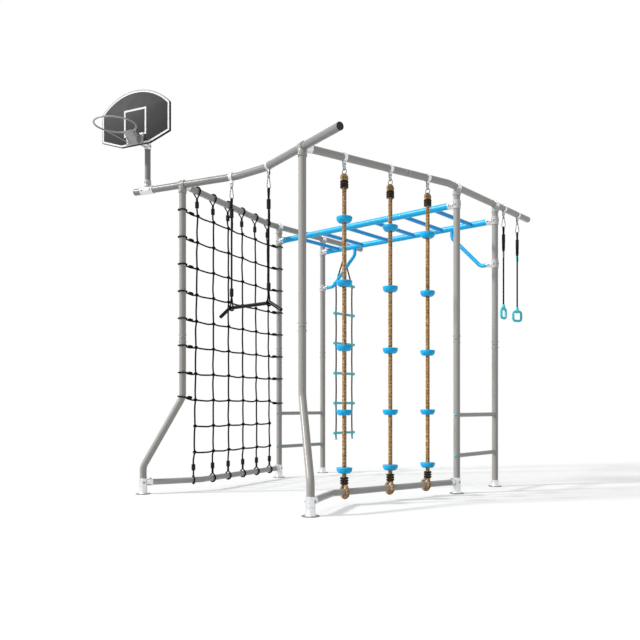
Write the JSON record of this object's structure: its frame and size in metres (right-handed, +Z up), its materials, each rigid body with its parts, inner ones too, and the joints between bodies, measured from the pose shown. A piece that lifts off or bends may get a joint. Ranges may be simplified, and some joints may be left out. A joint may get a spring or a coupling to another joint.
{
  "type": "monkey bars frame",
  "caption": "Tubular steel climbing frame: monkey bars over a bay, a climbing net, disc ropes, a trapeze, hand rings, a rope ladder and a small basketball hoop on a pole.",
  "frame": {"origin": "on the floor, at the middle of the overall width and depth", "axes": "+Z up, +X along the monkey bars from the net side to the disc rope side, +Y from the trapeze to the rope ladder"},
  "size_m": [2.192, 3.1078, 2.972],
  "materials": {
    "grey_frame": "satin powder coat",
    "blue_tubes": "gloss powder coat",
    "galvanised_fittings": "bright zinc",
    "net_cord": "braided cord",
    "disc_ropes": "hemp-look rope with moulded blue discs",
    "black_rope": "braided rope",
    "trapeze_bar": "satin black",
    "ring_grips": "moulded",
    "rope_ladder": "moulded rungs on cord",
    "backboard": "moulded",
    "hoop": "satin grey"
  },
  "bodies": {
    "frame": {"backboard": "backboard", "beam_front": "grey_frame", "beam_left": "grey_frame", "beam_right": "grey_frame", "brace_clamp_left": "galvanised_fittings", "brace_clamp_right": "galvanised_fittings", "brace_left": "blue_tubes", "brace_right": "blue_tubes", "climbing_net": "net_cord", "disc_rope_1": "disc_ropes", "disc_rope_2": "disc_ropes", "disc_rope_3": "disc_ropes", "foot_left_far": "galvanised_fittings", "foot_left_front": "galvanised_fittings", "foot_left_near": "galvanised_fittings", "foot_right_far": "galvanised_fittings", "foot_right_front": "galvanised_fittings", "foot_right_near": "galvanised_fittings", "hoop": "hoop", "hoop_pole": "grey_frame", "monkey_rung_1": "blue_tubes", "monkey_rung_2": "blue_tubes", "monkey_rung_3": "blue_tubes", "monkey_rung_4": "blue_tubes", "monkey_rung_5": "blue_tubes", "monkey_rung_6": "blue_tubes", "net_bar": "grey_frame", "post_left_far": "grey_frame", "post_left_front": "grey_frame", "post_left_near": "grey_frame", "post_right_far": "grey_frame", "post_right_front": "grey_frame", "post_right_near": "grey_frame", "rail_clamp_left_far": "galvanised_fittings", "rail_clamp_left_near": "galvanised_fittings", "rail_clamp_right_far": "galvanised_fittings", "rail_clamp_right_near": "galvanised_fittings", "rail_far_left": "blue_tubes", "rail_far_right": "blue_tubes", "rail_near_left": "blue_tubes", "rail_near_right": "blue_tubes", "rope_bar": "grey_frame", "step_left_lower": "grey_frame", "step_left_upper": "grey_frame", "step_right_lower": "grey_frame", "step_right_upper": "grey_frame", "tee_left_far": "galvanised_fittings", "tee_left_front": "galvanised_fittings", "tee_left_near": "galvanised_fittings", "tee_right_far": "galvanised_fittings", "tee_right_front": "galvanised_fittings", "tee_right_near": "galvanised_fittings"},
    "trapeze": {"trapeze_bar": "trapeze_bar", "trapeze_rope_left": "black_rope", "trapeze_rope_right": "black_rope"},
    "ring_left": {"ring_grip_left": "ring_grips", "ring_cord_left": "black_rope"},
    "ring_right": {"ring_grip_right": "ring_grips", "ring_cord_right": "black_rope"},
    "rope_ladder": {"rope_ladder": "rope_ladder"}
  },
  "joints": [
    {"name": "trapeze_swing", "type": "hinge", "parent": "frame", "child": "trapeze", "pos_m": [0.08868, -0.87333, 2.193], "axis": [1, 0, 0], "range_deg": [-60, 60]},
    {"name": "ring_left_swing", "type": "hinge", "parent": "frame", "child": "ring_left", "pos_m": [1.01368, 1.09793, 2.193], "axis": [0, 1, 0], "range_deg": [-60, 60]},
    {"name": "ring_right_swing", "type": "hinge", "parent": "frame", "child": "ring_right", "pos_m": [1.01368, 1.34892, 2.193], "axis": [0, 1, 0], "range_deg": [-60, 60]},
    {"name": "rope_ladder_swing", "type": "hinge", "parent": "frame", "child": "rope_ladder", "pos_m": [-0.83632, 1.27592, 2.193], "axis": [0, 1, 0], "range_deg": [-50, 50]}
  ]
}
